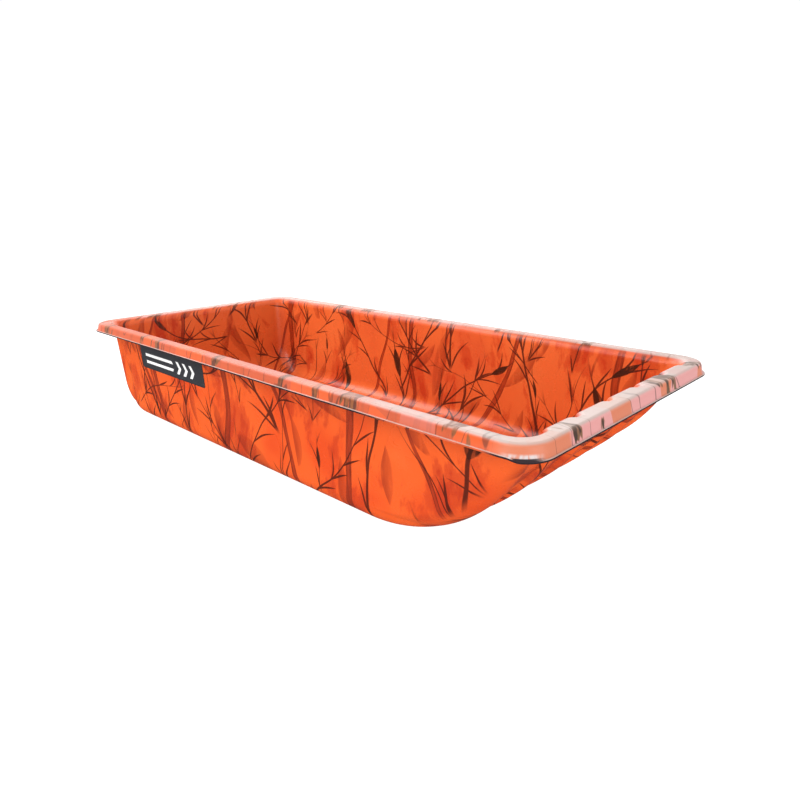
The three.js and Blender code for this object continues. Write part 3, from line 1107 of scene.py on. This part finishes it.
def sticker_frame():
    """The middle, the two half sizes and the directions up and out of the CAD sticker."""
    corners = np.array([tuple(v.co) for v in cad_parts["side_sticker"].data.vertices])
    low, high = corners.min(0), corners.max(0)
    top = corners[corners[:, 2] > high[2] - 0.1 * mm]
    foot = corners[corners[:, 2] < low[2] + 0.1 * mm]
    rise = Vector((0, top[:, 1].min() - foot[:, 1].min(), high[2] - low[2]))
    up = rise.normalized()
    return SimpleNamespace(
        middle=Vector((low + high) / 2), half_x=(high[0] - low[0]) / 2, half_up=rise.length / 2,
        up=up, out=Vector((1, 0, 0)).cross(up),
    )


def film_point(place_of, a, b, face_side):
    """A point of the film, from its shares along and up, which run from -1 to 1."""
    past_corner = max(0, (abs(b) - 1) * place_of.half_up / sticker_corner + 1)
    x = a * (place_of.half_x - sticker_corner * (1 - math.sqrt(1 - past_corner**2)))
    from_edge = min(place_of.half_x - abs(x), place_of.half_up * (1 - abs(b)))
    edge = min(1, from_edge / film_edge)
    swell = film_swell * math.sin(a * 9 + b * 2) * math.cos(b * 3 + a) * edge
    depth = face_side * sticker_thickness / 2 * lerp(thin_edge_share, 1, edge) - film_swell
    depth += swell if face_side == 1 else 0
    return place_of.middle + Vector((x, 0, 0)) + place_of.up * (b * place_of.half_up) + place_of.out * depth


def build_sticker(place_of):
    """A thin closed film between the faces of the CAD sticker, with rounded corners and a softened edge."""
    wide, tall = sticker_columns + 1, sticker_rows + 1
    spots = [(a, b) for b in np.linspace(-1, 1, tall) for a in np.linspace(-1, 1, wide)]
    points = [film_point(place_of, a, b, face_side) for face_side in (-1, 1) for a, b in spots]
    size = wide * tall
    faces = []
    for r in range(sticker_rows):
        for c in range(sticker_columns):
            quad = [r * wide + c, r * wide + c + 1, (r + 1) * wide + c + 1, (r + 1) * wide + c]
            faces.append(quad[::-1])
            faces.append([size + i for i in quad])
    rim = list(range(wide)) + [r * wide + wide - 1 for r in range(1, tall)]
    rim += [sticker_rows * wide + c for c in range(wide - 2, -1, -1)]
    rim += [r * wide for r in range(sticker_rows - 1, 0, -1)]
    for a, b in zip(rim, rim[1:] + rim[:1]):
        faces.append([a, b, size + b, size + a])
    mesh = bpy.data.meshes.new("sticker_film")
    mesh.from_pydata(points, [], faces)
    return mesh


sticker_place = sticker_frame()
sticker = add_object("sticker_film", build_sticker(sticker_place))
print("sticker open edges and litres:", tidy_skin(sticker.data))

# %% Sticker material
charcoal = ink(46, 47, 51)
charcoal_worn = ink(66, 68, 72)
mark_white = ink(232, 232, 230)
mark_drop = 3 * mm
mark_edge = 0.3 * mm
chevron_pitch = 30 * mm
chevron_bar = 11 * mm
chevron_half_height = 15 * mm
chevron_slope = 0.8
chevrons_start, chevrons_end = 30 * mm, 120 * mm
bar_aside = 9 * mm
bar_half = 3.5 * mm
bars_start, bars_end = -125 * mm, 18 * mm


def inside_mark(distance, half):
    return distance.ramp(half - mark_edge, half + mark_edge).flipped()


def make_film():
    """Charcoal film with two long bars and three plain chevrons that point to the nose."""
    material, tree, shader = start_material("charcoal_film")
    spot = add_node(tree, "TexCoord", "Object")
    x, _, z = parts(spot)
    along, up = x - sticker_place.middle.x, z - sticker_place.middle.z + mark_drop
    slope = along + abs(up) * chevron_slope
    stripe = abs((slope / chevron_pitch).math("FRACT") - 0.5) * chevron_pitch
    chevrons = inside_mark(stripe, chevron_bar / 2) * inside_mark(abs(up), chevron_half_height)
    chevrons = chevrons * slope.math("GREATER_THAN", chevrons_start) * slope.math("LESS_THAN", chevrons_end)
    bars = inside_mark(abs(abs(up) - bar_aside), bar_half)
    bars = bars * along.math("GREATER_THAN", bars_start) * slope.math("LESS_THAN", bars_end)
    fleck = noise(spot, 900.0, 3.0, 0.7)
    scratch = noise(pair(x * 30.0, z * 900.0), 1.0, 3.0)
    colour = mixed(charcoal, charcoal_worn, scratch.ramp(0.5, 0.75) * 0.5)
    colour = mixed(colour, mark_white, chevrons.math("MAXIMUM", bars) * fleck.ramp(0.22, 0.32))
    feed(tree, shader, {
        "Base Color": colour,
        "Roughness": scratch * 0.15 + 0.4,
        "Normal": bumps([(fleck, 0.02 * mm), (scratch, 0.02 * mm)]),
        "Specular IOR Level": 0.3,
    })
    print("film nodes:", len(tree.nodes))
    return material


sticker.data.materials.append(make_film())
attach(sticker, "root")
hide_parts("side_sticker")

# %% [markdown]
# ## Floor and light
# The studio is a white cove. Its floor glows like a light table, so that no hard shadow lies under the
# sled, and its walls are the world's light. Glossy plastic at a slant would mirror so bright a floor and
# lose its colour. So the floor and the world below the horizon are dark to mirrored rays only, as black
# card beside a set would be. Two large soft lights make the sheen: a high one behind the sled for the level
# top of the rim, and one above its stern for the rounded foot of the far wall. A third lights the right
# wall under the rim, and a low one ahead of the nose lights what its rim would shade.

# %% Studio
floor_half_size = 30.0
floor_gap = 0.2 * mm
floor_glow = 1.04
floor_grey = 0.12
sky_light = 1.02
mirrored_ground_light = 0.08
horizon_fade = (-0.12, -0.05)


def add_floor_plane():
    mesh = bpy.data.meshes.new("studio_floor")
    corners = [(a * floor_half_size, b * floor_half_size) for a, b in ((-1, -1), (1, -1), (1, 1), (-1, 1))]
    mesh.from_pydata([(x, y, -floor_gap) for x, y in corners], [], [(0, 1, 2, 3)])
    floor = add_object("studio_floor", mesh)
    material, tree, shader = start_material("studio_floor")
    feed(tree, shader, {
        "Base Color": (floor_grey, floor_grey, floor_grey, 1),
        "Emission Color": (1, 1, 1, 1),
        "Emission Strength": floor_glow,
        "Roughness": 0.9,
    })
    floor.data.materials.append(material)
    floor.visible_glossy = False


def add_softbox(name, place_at, target, width, height, watts):
    light = bpy.data.lights.new(name, "AREA")
    light.shape = "RECTANGLE"
    light.size = width
    light.size_y = height
    light.energy = watts
    lamp = add_object(name, light)
    lamp.location = place_at
    lamp.rotation_euler = (Vector(target) - Vector(place_at)).to_track_quat("-Z", "Y").to_euler()
    lamp.visible_camera = False


def light_world():
    """A sky that is white from a little below the horizon upward, and dark below that."""
    world = bpy.data.worlds.new("studio")
    world.use_nodes = True
    tree = world.node_tree
    _, _, up = parts(add_node(tree, "TexCoord", "Generated"))
    light = up.ramp(*horizon_fade) * (sky_light - mirrored_ground_light) + mirrored_ground_light
    feed(tree, tree.nodes["Background"], {"Color": (1, 1, 1, 1), "Strength": light})
    bpy.context.scene.world = world


# Each softbox has a place, a target, a width, a height and a power in watts.
softboxes = {
    "back_softbox": ((-1.7, 1.9, 1.7), (0, 0, 0.1), 3.2, 1.2, 30),
    "top_softbox": ((-1.4, -0.6, 1.8), (0.2, 0.1, 0), 2.2, 1.4, 46),
    "fill_softbox": ((0, -2.15, 1.4), (0, 0.2, 0.1), 1.8, 1.2, 25),
    "nose_softbox": ((2.4, -0.4, 0.45), (0.6, 0, 0.15), 1.6, 0.6, 12),
}
add_floor_plane()
light_world()
for softbox_name, settings in softboxes.items():
    add_softbox(softbox_name, *settings)
bpy.context.scene.view_settings.view_transform = "Standard"
